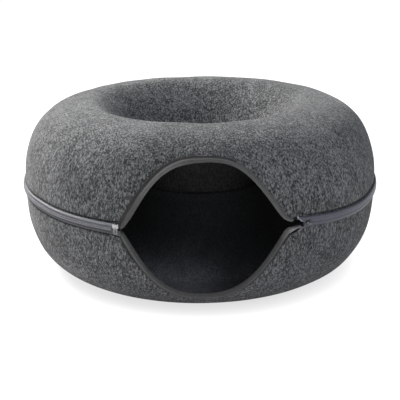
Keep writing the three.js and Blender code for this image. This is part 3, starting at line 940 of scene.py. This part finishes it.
def sew_along_edge(name, edge, wall, widths, row, materials):
    """A row of stitches beside a cut edge, at a share of its flap's width."""
    length = edge_path(edge, *row["ends"], 10)[1][-1]
    steps = int(length / BINDING_STITCH_PITCH)
    angle = edge_path(edge, *row["ends"], steps)[0]
    depth = (flap_width(widths, angle) * row["share"])[:, None]
    spots = lay_on_wall(edge, wall, angle, depth, np.full((steps, 1), row["out"]))[:, 0]
    above = lay_on_wall(edge, wall, angle, depth, np.full((steps, 1), row["out"] + 0.001))[:, 0]
    ahead = np.gradient(spots, axis=0)
    ahead /= np.linalg.norm(ahead, axis=1)[:, None]
    outward = above - spots
    outward -= ahead * (outward * ahead).sum(1)[:, None]
    outward /= np.linalg.norm(outward, axis=1)[:, None]
    places = np.zeros((steps, 4, 4))
    places[:, :3, 0] = ahead
    places[:, :3, 1] = np.cross(outward, ahead)
    places[:, :3, 2] = outward
    places[:, :3, 3] = spots
    places[:, 3, 3] = 1
    stitch = model_stitch(BINDING_STITCH_PITCH * BINDING_STITCH_SHARE, BINDING_STITCH_THICKNESS)
    return set_out_copies(name, stitch, places, materials)


grey_thread = thread_material("grey_thread", (0.08, 0.077, 0.077))
upper_sewing = sew_along_edge(
    "upper_binding_stitches", UPPER_EDGE, UPPER_WALL, UPPER_FLAP, UPPER_SEWING, [grey_thread]
)
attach(upper_sewing, "root")
lower_sewing = sew_along_edge(
    "lower_binding_stitches", LOWER_EDGE, LOWER_WALL, LOWER_FLAP, LOWER_SEWING, [dark_thread]
)
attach(lower_sewing, "root")


# Zip tapes
# Two woven tapes of satin grey, sewn over the felt above and below the zip line, from one corner of
# the entrance round the back to the other. On the left the upper tape's free edge is rolled and the lower
# lies flat, and on the right both are drawn tight into one smooth band. Their colours are painted: the
# upper lighter than the lower, with painted shade on the upper's right and on the lower's left.

ZIP_RADIUS = 0.300
ZIP_STEPS = 520
TAPE_ENDS = (29.0, 335.0)
UPPER_TAPE_END = {"slant": 190.0, "rise": 0.36}
PLAIN_END = {"slant": 0.0, "rise": 0.0}
END_REACH = 2.5
FULL_UNTIL = 95.0
OPEN_FROM = 175.0
# Millimetres up from the zip line, and out from the felt where the band is open and where it is full.
UPPER_TAPE_SECTION = [
    (0.3, 0.3, 0.3), (0.3, 1.55, 3.9), (1.8, 1.7, 3.85), (3.0, 1.35, 3.75), (3.8, 1.2, 3.65),
    (4.3, 1.6, 3.55), (5.0, 2.35, 3.4), (5.9, 2.75, 3.15), (6.8, 2.65, 2.8), (7.5, 2.15, 2.25),
    (7.9, 1.4, 1.5), (8.0, 0.8, 0.8), (7.9, 0.3, 0.3),
]
LOWER_TAPE_SECTION = [
    (-0.3, 0.3, 0.3), (-0.3, 1.55, 3.9), (-1.8, 1.7, 3.95), (-2.9, 1.5, 3.85), (-3.8, 1.4, 3.65),
    (-5.0, 1.3, 3.2), (-5.7, 1.15, 2.85), (-6.3, 1.05, 2.45), (-6.9, 1.0, 2.0), (-7.5, 0.9, 1.5),
    (-7.9, 0.7, 1.05), (-8.0, 0.5, 0.7), (-7.9, 0.3, 0.3),
]
# Pairs of an angle and each tape's share of painted shading: painted shade on the upper tape's right and on
# the lower tape's left, bluer on the right.
ZIP_PAINTED_SHADING = [(29, 1.0), (95, 1.0), (175, 0.9), (285, 0.95), (303, 0.33), (318, 0.0)]


def zip_strip(name, section, first_end, ends, materials):
    """A strip along the zip line between two angles, its first end cut on a slant and drawn up by a share.

    The band is full and smooth on the ring's right, where it is drawn tight, and more open on its left. Its
    share of painted light and shade along the ring is kept on its points.
    """
    angle = np.linspace(*ends, ZIP_STEPS)
    up, out_open, out_full = np.transpose(section) / 1000
    full = (1 - smooth_ramp(angle, FULL_UNTIL, OPEN_FROM))[:, None]
    out = out_open + (out_full - out_open) * full
    start = (1 - smooth_ramp(angle, ends[0], ends[0] + END_REACH))[:, None]
    up = up * (1 + first_end["rise"] * start**2)
    turned = angle[:, None] - first_end["slant"] * up * start
    level = zip_line(signed(angle))[:, None] + up
    points = ring_point(turned, ZIP_RADIUS + out, level)
    along = np.radians(angle - ends[0]) * ZIP_RADIUS
    return sweep(name, points, along, read_pairs(ZIP_PAINTED_SHADING, angle), materials)


ZIP_PITCHES = (0.0012, 0.0008)
# The upper tape is painted much lighter than the lower one: painted light on the upper, painted shade on the
# lower, of one satin grey.
upper_tape_lit_cloth = tape_material(
    "upper_zip_tape_painted_light",
    weave,
    (0.14, 0.141, 0.155),
    (0.41, 0.412, 0.45),
    ZIP_PITCHES,
    rough=0.4,
    gloss=0.4,
    painted_factor=(0.33, 0.33, 0.4),
)
lower_tape_shaded_cloth = tape_material(
    "lower_zip_tape_painted_shade",
    weave,
    (0.024, 0.024, 0.029),
    (0.074, 0.074, 0.09),
    ZIP_PITCHES,
    rough=0.42,
    gloss=0.4,
    painted_factor=(1.28, 1.28, 1.5),
)
upper_tape = zip_strip("upper_zip_tape_cloth", UPPER_TAPE_SECTION, UPPER_TAPE_END, TAPE_ENDS, [upper_tape_lit_cloth])
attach(upper_tape, "root")
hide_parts("upper_zip_tape")
lower_tape = zip_strip("lower_zip_tape_cloth", LOWER_TAPE_SECTION, PLAIN_END, TAPE_ENDS, [lower_tape_shaded_cloth])
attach(lower_tape, "root")
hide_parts("lower_zip_tape")


# Zip stitches
# Two rows of grey thread around the ring, one along each zip tape, which sew the tapes down
# through the felt.

ZIP_STITCH_PITCH = 0.0042
ZIP_STITCH_SHARE = 0.72
ZIP_STITCH_THICKNESS = 0.0007
ZIP_SEWING_ENDS = (36.0, 332.0)
# How far each row lies up from the zip line and out from the felt.
ZIP_SEWING = [(0.0036, 0.0013), (-0.0061, 0.0015)]

zip_sewing_angles = np.arange(*ZIP_SEWING_ENDS, math.degrees(ZIP_STITCH_PITCH / ZIP_RADIUS))
zip_sewing_level = zip_line(signed(zip_sewing_angles))
zip_places = np.concatenate(
    [ring_frames(zip_sewing_angles, ZIP_RADIUS + out, zip_sewing_level + up) for up, out in ZIP_SEWING]
)
zip_thread = thread_material("zip_thread", (0.2, 0.2, 0.22))
zip_stitch = model_stitch(ZIP_STITCH_PITCH * ZIP_STITCH_SHARE, ZIP_STITCH_THICKNESS)
zip_sewing = set_out_copies("zip_stitches", zip_stitch, zip_places, [zip_thread])
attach(zip_sewing, "root")


# Folded tape ends
# The ends of the two zip tapes beside the entrance's right-hand corner, folded into narrow rolls:
# the upper one slants down to the slider, the lower one lies below the end of the lower binding.
# Between them lies a near-black roll in the slot under the end of the lower binding's flap: a painted shadow
# of that slot.

FOLD_SIDES = 14
FOLD_ROUNDING = 0.5
UPPER_FOLD = [(26.95, 0.0112, 0.3012), (28.45, 0.0030, 0.3024)]
LOWER_FOLD = [(27.35, -0.0126, 0.3004), (29.0, -0.0066, 0.3012)]
SLOT_SHADOW_ENDS = [(26.1, -0.0118, 0.3007), (27.84, -0.0070, 0.3007)]
UPPER_FOLD_THICKNESS = 0.0011
LOWER_FOLD_THICKNESS = 0.0013
SLOT_SHADOW_THICKNESS = 0.0014


def model_roll(name, ends, thickness, material):
    """A narrow roll of tape between two places given as angle, height over the zip line and radius."""
    (angle, up, radius), (angle_end, up_end, radius_end) = ends
    start = Vector(ring_point(angle, radius, zip_line(np.array(angle)) + up))
    end = Vector(ring_point(angle_end, radius_end, zip_line(np.array(angle_end)) + up_end))
    bpy.ops.object.select_all(action="DESELECT")
    bpy.ops.mesh.primitive_cylinder_add(vertices=FOLD_SIDES, radius=thickness, depth=(end - start).length)
    roll = bpy.context.object
    roll.name = name
    apply_modifier(roll, "BEVEL", width=thickness * FOLD_ROUNDING, segments=3, limit_method="ANGLE")
    turn = (end - start).to_track_quat("Z", "Y").to_matrix().to_4x4()
    roll.data.transform(Matrix.Translation((start + end) / 2) @ turn)
    shade_smooth(roll, 60)
    roll.data.materials.append(material)
    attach(roll, "root")


pale_fold = thread_material("pale_fold", (0.7, 0.7, 0.73), 0.5)
grey_fold = thread_material("grey_fold", (0.3, 0.303, 0.34), 0.5)
# A near-black roll that stands for the shadow in the slot: painted shadow.
slot_shadow_cloth = thread_material("slot_shadow_cloth", (0.003, 0.003, 0.003), 0.95)
model_roll("upper_tape_fold", UPPER_FOLD, UPPER_FOLD_THICKNESS, pale_fold)
model_roll("lower_tape_fold", LOWER_FOLD, LOWER_FOLD_THICKNESS, grey_fold)
model_roll("slot_shadow_roll", SLOT_SHADOW_ENDS, SLOT_SHADOW_THICKNESS, slot_shadow_cloth)


# Zip chain
# Two coils of grey nylon, each sewn along the meeting edge of its tape. Closed, their turns lie
# between each other over the gap from the slider round to the tack at the far end.

CHAIN_ENDS = (32.4, 333.5)
COIL_PITCH = 0.0022
COIL_WIRE = 0.00046
COIL_HALF_WIDTH = 0.00145
COIL_RISE = 0.0021
COIL_SEAT = 0.3017
COIL_MIDDLE = 0.00095
CORE_SECTION = [
    (-2.5, 1.5, 2.6), (-2.4, 2.4, 3.1), (-1.7, 3.3, 3.4), (-0.8, 3.65, 3.6), (0.0, 3.5, 3.6),
    (0.8, 3.65, 3.6), (1.7, 3.3, 3.4), (2.4, 2.4, 3.1), (2.5, 1.5, 2.6),
]


def cut_and_stretch(ring, place, square_to, stretch, **removed):
    """Cuts a ring with a plane, takes one side away, closes the cut and stretches what is left."""
    choose(ring)
    bpy.ops.object.mode_set(mode="EDIT")
    bpy.ops.mesh.select_all(action="SELECT")
    bpy.ops.mesh.bisect(plane_co=place, plane_no=square_to, use_fill=True, **removed)
    bpy.ops.mesh.select_all(action="SELECT")
    bpy.ops.transform.resize(value=stretch)
    bpy.ops.object.mode_set(mode="OBJECT")


def join_pieces(piece, others):
    """Joins other pieces into one."""
    choose(piece)
    for other in others:
        other.select_set(True)
    bpy.ops.object.join()


def nylon_material(name, dark, light):
    """Moulded nylon, a little uneven in shade."""
    material, tree, shader = start_material(name)
    uneven = uneven_colour(tree, shader, 500, 2.0, dark, light)
    raise_surface(tree, shader, uneven, 0.2, 0.0001)
    shader.inputs["Roughness"].default_value = 0.45
    return material


bpy.ops.object.select_all(action="DESELECT")
bpy.ops.mesh.primitive_torus_add(
    major_segments=12, minor_segments=5, major_radius=COIL_HALF_WIDTH, minor_radius=COIL_WIRE
)
coil_turn = bpy.context.object
coil_turn.data.transform(Matrix.Rotation(math.pi / 2, 4, "Y"))
cut_and_stretch(coil_turn, (0, 0, 0), (0, 0, 1), (1, 1, COIL_RISE / COIL_HALF_WIDTH), clear_inner=True)
turn_step = math.degrees(COIL_PITCH / ZIP_RADIUS)
upper_turns = np.arange(*CHAIN_ENDS, turn_step)
lower_turns = upper_turns[:-1] + turn_step / 2
coil_places = np.concatenate(
    [
        ring_frames(turns, COIL_SEAT, zip_line(signed(turns)) + middle)
        for turns, middle in ((upper_turns, COIL_MIDDLE), (lower_turns, -COIL_MIDDLE))
    ]
)
nylon = nylon_material("grey_nylon", (0.22, 0.221, 0.242), (0.64, 0.644, 0.69))
core_nylon = nylon_material("core_nylon", (0.055, 0.055, 0.063), (0.18, 0.181, 0.2))
zip_chain = set_out_copies("zip_chain_coils", coil_turn, coil_places, [nylon])
core = zip_strip("zip_chain_core", CORE_SECTION, PLAIN_END, CHAIN_ENDS, [core_nylon])
join_pieces(zip_chain, [core])
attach(zip_chain, "root")
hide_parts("zip_chain")


# Zip end tack
# White thread sewn to and fro over the zip's left-hand end, in eleven upright rows side by side,
# through both tapes and the felt.

TACK_ANGLE = -25.4
TACK_ROW_SPAN = 0.0073
TACK_THREADS = 11
TACK_THREAD_THICKNESS = 0.0014
TACK_TOP = 0.0077
TACK_FOOT = 0.0019
TACK_OUT = 0.0029


def zip_frame(angle, radius, up=0.0):
    """The place at one angle on the zip: x goes around, y is up and z points out."""
    return ring_frames([angle], radius, zip_line(np.array([angle])) + up)[0]


def upright_places(angle, offsets):
    """Places of upright stitches beside an angle on the zip, from offsets around, up and out."""
    turned_up = np.array(Matrix.Rotation(math.pi / 2, 4, "Z"))
    places = []
    for offset in offsets:
        shift = np.eye(4)
        shift[:3, 3] = offset
        places.append(zip_frame(angle, ZIP_RADIUS) @ shift @ turned_up)
    return places


tack_rows = np.linspace(-0.5, 0.5, TACK_THREADS) * TACK_ROW_SPAN
tack_offsets = [(across, (TACK_TOP + TACK_FOOT) / 2, TACK_OUT) for across in tack_rows]
white_thread = thread_material("white_thread", (0.97, 0.97, 0.99), 0.6)
tack_stitch = model_stitch(TACK_TOP - TACK_FOOT, TACK_THREAD_THICKNESS)
tack_places = upright_places(TACK_ANGLE, tack_offsets)
tack = set_out_copies("zip_end_tack_threads", tack_stitch, tack_places, [white_thread])
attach(tack, "root")
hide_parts("zip_end_tack")


# Zip end stop
# The closed end of the zip, which shows under the tack: a small block of moulded nylon,
# pale around its rim, with the bottom of the stepped hollow in its middle painted dark: painted shade.

STOP_SIZE = (0.0072, 0.0092, 0.0016)
STOP_MIDDLE = (0, -0.0030, 0.0029)
STOP_RIM = 0.0013
STOP_HOLLOW = 0.0007
STOP_SECOND_HOLLOW = 0.00042
STOP_ROUNDING = 0.0004


def start_block(size):
    """A block of these sizes around the origin, to be shaped further."""
    bpy.ops.object.select_all(action="DESELECT")
    bpy.ops.mesh.primitive_cube_add(size=1)
    block = bpy.context.object
    block.data.transform(Matrix.Diagonal((*size, 1)))
    return block


pale_nylon = nylon_material("pale_nylon", (0.13, 0.131, 0.145), (0.38, 0.382, 0.41))
hollow_shade_nylon = nylon_material("hollow_shade_nylon", (0.02, 0.02, 0.022), (0.06, 0.06, 0.066))
stop = start_block(STOP_SIZE)
stop.name = "zip_end_stop"
select_corners(stop, lambda place: place.z > 0)
bpy.ops.mesh.select_mode(type="FACE")
for hollow in (STOP_HOLLOW, STOP_SECOND_HOLLOW):
    bpy.ops.mesh.inset(thickness=STOP_RIM)
    bpy.ops.transform.translate(value=(0, 0, -hollow))
bpy.ops.object.mode_set(mode="OBJECT")
stop.data.materials.append(pale_nylon)
stop.data.materials.append(hollow_shade_nylon)
# The innermost face of the hollow takes the dark nylon: painted shade.
for face in stop.data.polygons:
    face.material_index = int(face.select)
apply_modifier(stop, "BEVEL", width=STOP_ROUNDING, segments=2, limit_method="ANGLE")
stop_frame = Matrix(zip_frame(TACK_ANGLE, ZIP_RADIUS).tolist())
stop.data.transform(stop_frame @ Matrix.Translation(STOP_MIDDLE))
shade_smooth(stop, 40)
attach(stop, "root")


# Zip slider
# A small cast slider at the right-hand end of the chain: a grey plate with rounded corners over the coils,
# a near-black bar across its upper edge, a painted shadow of the gap above the bow, and a pale bow that lies
# across its lower half like an open ring.

SLIDER_ANGLE = 30.7
SLIDER_SEAT = 0.3026
SLIDER_DROP = 0.0004
SLIDER_PLATE = (0.0092, 0.0068, 0.0019)
SLIDER_CORNER = 0.0026
SLIDER_ROUNDING = 0.0005
BOW_RADIUS = 0.0031
BOW_BAR = 0.00085
BOW_STRETCH = (1.25, 0.85, 1.0)
BOW_CUT = -0.0006
BOW_TILT = -28.0
BOW_MIDDLE = (0, 0.0006, SLIDER_PLATE[2] + BOW_BAR / 2)
BAR_SIZE = (0.0074, 0.0016, 0.0012)
BAR_MIDDLE = (-0.0032, 0.0025, SLIDER_PLATE[2])
BAR_ROUNDING = 0.0004

slider = start_block(SLIDER_PLATE)
slider.name = "zip_slider_cast"
slider.data.transform(Matrix.Translation((0, 0, SLIDER_PLATE[2] / 2)))
choose(slider)
bpy.ops.object.mode_set(mode="EDIT")
bpy.ops.mesh.select_mode(type="EDGE")
bpy.ops.mesh.select_all(action="DESELECT")
bpy.ops.object.mode_set(mode="OBJECT")
for side in slider.data.edges:
    low, high = (slider.data.vertices[corner].co for corner in side.vertices)
    side.select = abs(low.z - high.z) > SLIDER_PLATE[2] / 2
bpy.ops.object.mode_set(mode="EDIT")
bpy.ops.mesh.bevel(offset=SLIDER_CORNER, segments=5)
bpy.ops.object.mode_set(mode="OBJECT")
apply_modifier(slider, "BEVEL", width=SLIDER_ROUNDING, segments=2, limit_method="ANGLE")

bpy.ops.object.select_all(action="DESELECT")
bpy.ops.mesh.primitive_torus_add(
    major_segments=28, minor_segments=8, major_radius=BOW_RADIUS, minor_radius=BOW_BAR
)
bow = bpy.context.object
cut_and_stretch(bow, (0, BOW_CUT, 0), (0, 1, 0), BOW_STRETCH, clear_outer=True)
bow.data.transform(Matrix.Rotation(math.radians(BOW_TILT), 4, "Z"))
bow.data.transform(Matrix.Translation(BOW_MIDDLE))

# The bar stands for the shadow of the gap above the bow: painted shadow.
gap_shadow_bar = start_block(BAR_SIZE)
apply_modifier(gap_shadow_bar, "BEVEL", width=BAR_ROUNDING, segments=2, limit_method="ANGLE")
gap_shadow_bar.data.transform(Matrix.Translation(BAR_MIDDLE))


def cast_material(name, dark, light, metal, gloss):
    """Cast metal, worn a little unevenly."""
    material, tree, shader = start_material(name)
    wear = uneven_colour(tree, shader, 900, 3.0, dark, light)
    tree.links.new(calculate(tree, "MULTIPLY_ADD", wear, 0.3, 0.25), shader.inputs["Roughness"])
    shader.inputs["Metallic"].default_value = metal
    shader.inputs["Specular IOR Level"].default_value = gloss
    return material


slider.data.materials.append(cast_material("grey_cast", (0.036, 0.036, 0.044), (0.08, 0.08, 0.096), 0.0, 0.3))
gap_shadow_bar.data.materials.append(cast_material("gap_shadow_cast", (0.004, 0.004, 0.005), (0.016, 0.016, 0.018), 0.0, 0.1))
bow.data.materials.append(cast_material("pale_cast", (0.15, 0.143, 0.132), (0.34, 0.324, 0.3), 0.2, 0.5))
join_pieces(slider, [gap_shadow_bar, bow])
slider.data.transform(Matrix(zip_frame(SLIDER_ANGLE, SLIDER_SEAT, -SLIDER_DROP).tolist()))
shade_smooth(slider, 40)
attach(slider, "root")
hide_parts("zip_slider")


# Corner tacks
# Two short upright rows of dark thread across both tapes beside the slider, which hold the
# zip's right-hand end to the felt.

CORNER_TACK_ANGLES = [34.8, 37.0]
CORNER_STITCH_LENGTH = 0.0026
CORNER_STITCH_THICKNESS = 0.0008
# Offsets of each row's stitches around, up from the zip line and out from the felt.
CORNER_OFFSETS = [(0, 0.0068, 0.00265), (0, 0.0042, 0.0017), (0, -0.0042, 0.0017), (0, -0.0068, 0.0015)]

corner_places = []
for corner_angle in CORNER_TACK_ANGLES:
    corner_places += upright_places(corner_angle, CORNER_OFFSETS)
corner_stitch = model_stitch(CORNER_STITCH_LENGTH, CORNER_STITCH_THICKNESS)
corner_tacks = set_out_copies("corner_tacks", corner_stitch, corner_places, [dark_thread])
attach(corner_tacks, "root")


# Floor, light and camera
# A plain white studio floor, a large soft lamp high behind the left side, three weaker ones over the left,
# straight above and in front on the right, and even light all around.

FLOOR_WIDTH = 40
FLOOR_LEVEL = -0.0002
FLOOR_SEEN = (0.2, 0.2, 0.2, 1)
FLOOR_BOUNCE = (0.85, 0.85, 0.85, 1)
FLOOR_GLOW = 0.98
CONTACT_SHADE = 0.29
CONTACT_REACH = 0.025
BACKDROP_COLOUR = (0.93, 0.97, 1.03, 1)
BACKDROP_SEEN = 1.05
WORLD_LIGHT = 0.255
LAMPS = {
    "key_lamp": ((-1.5, 1.3, 1.9), 112, (1.0, 0.985, 0.92)),
    "over_lamp": ((-1.2, -0.4, 2.2), 16, (1.0, 1.0, 1.0)),
    "top_fill": ((0.0, 0.0, 2.6), 8, (0.85, 0.98, 1.1)),
    "right_fill": ((1.8, -1.4, 1.0), 8, (0.97, 0.98, 1.0)),
}
LAMP_SIZE = 1.4
LAMP_AIM = (0, 0, 0.15)
IMAGE_WIDTH = 400
FOCAL_PIXELS = 878.67
SENSOR_WIDTH = 36
CAMERA_PLACE = (-0.030978, -1.48873, 0.583589)
CAMERA_AIM = (-0.000348, RING_AXIS_Y, 0.096508)
CAMERA_ROLL = -0.0077

bpy.ops.object.select_all(action="DESELECT")
bpy.ops.mesh.primitive_plane_add(size=FLOOR_WIDTH, location=(0, 0, FLOOR_LEVEL))
floor = bpy.context.object
floor.name = "studio_floor"
floor_paint, floor_tree, floor_shader = start_material("white_floor")
floor_rays = add_node(floor_tree, "ShaderNodeLightPath").outputs
seen = calculate(floor_tree, "MAXIMUM", floor_rays["Is Camera Ray"], floor_rays["Is Glossy Ray"])
floor_mix = blend_colours(floor_tree, seen, FLOOR_BOUNCE, FLOOR_SEEN)
floor_tree.links.new(floor_mix, floor_shader.inputs["Base Color"])
floor_shader.inputs["Roughness"].default_value = 0.9
floor_shader.inputs["Specular IOR Level"].default_value = 0.0
floor_shader.inputs["Emission Color"].default_value = (1, 1, 1, 1)
# Near the object the floor's glow is dimmed by its occlusion: a painted contact shadow.
floor_open = add_node(floor_tree, "ShaderNodeAmbientOcclusion", {"Distance": CONTACT_REACH}).outputs["AO"]
floor_glow = calculate(floor_tree, "MULTIPLY_ADD", floor_open, CONTACT_SHADE, FLOOR_GLOW - CONTACT_SHADE)
floor_glow = calculate(floor_tree, "MULTIPLY", seen, floor_glow)
floor_tree.links.new(floor_glow, floor_shader.inputs["Emission Strength"])
floor.data.materials.append(floor_paint)

scene = bpy.context.scene
scene.view_settings.view_transform = "Standard"
world = bpy.data.worlds.new("studio")
scene.world = world
world.use_nodes = True
world_tree = world.node_tree
backdrop = world_tree.nodes["Background"]
backdrop.inputs["Color"].default_value = BACKDROP_COLOUR
world_seen = add_node(world_tree, "ShaderNodeLightPath").outputs["Is Camera Ray"]
world_light = calculate(world_tree, "MULTIPLY_ADD", world_seen, BACKDROP_SEEN - WORLD_LIGHT, WORLD_LIGHT)
world_tree.links.new(world_light, backdrop.inputs["Strength"])


def place_and_aim(name, data, place, aim, roll=0.0):
    """Puts a lamp or a camera at a place, looking at another and turned about its own axis."""
    item = bpy.data.objects.new(name, data)
    scene.collection.objects.link(item)
    item.location = place
    item.rotation_mode = "QUATERNION"
    facing = (Vector(aim) - item.location).to_track_quat("-Z", "Y")
    item.rotation_quaternion = facing @ Quaternion((0, 0, 1), roll)
    return item


for lamp_name, (lamp_place, lamp_power, lamp_colour) in LAMPS.items():
    lamp = bpy.data.lights.new(lamp_name, "AREA")
    lamp.shape = "DISK"
    lamp.size = LAMP_SIZE
    lamp.energy = lamp_power
    lamp.color = lamp_colour
    place_and_aim(lamp_name, lamp, lamp_place, LAMP_AIM)

camera = bpy.data.cameras.new("photo_camera")
camera.sensor_width = SENSOR_WIDTH
camera.lens = FOCAL_PIXELS / IMAGE_WIDTH * SENSOR_WIDTH
scene.camera = place_and_aim("photo_camera", camera, CAMERA_PLACE, CAMERA_AIM, CAMERA_ROLL)
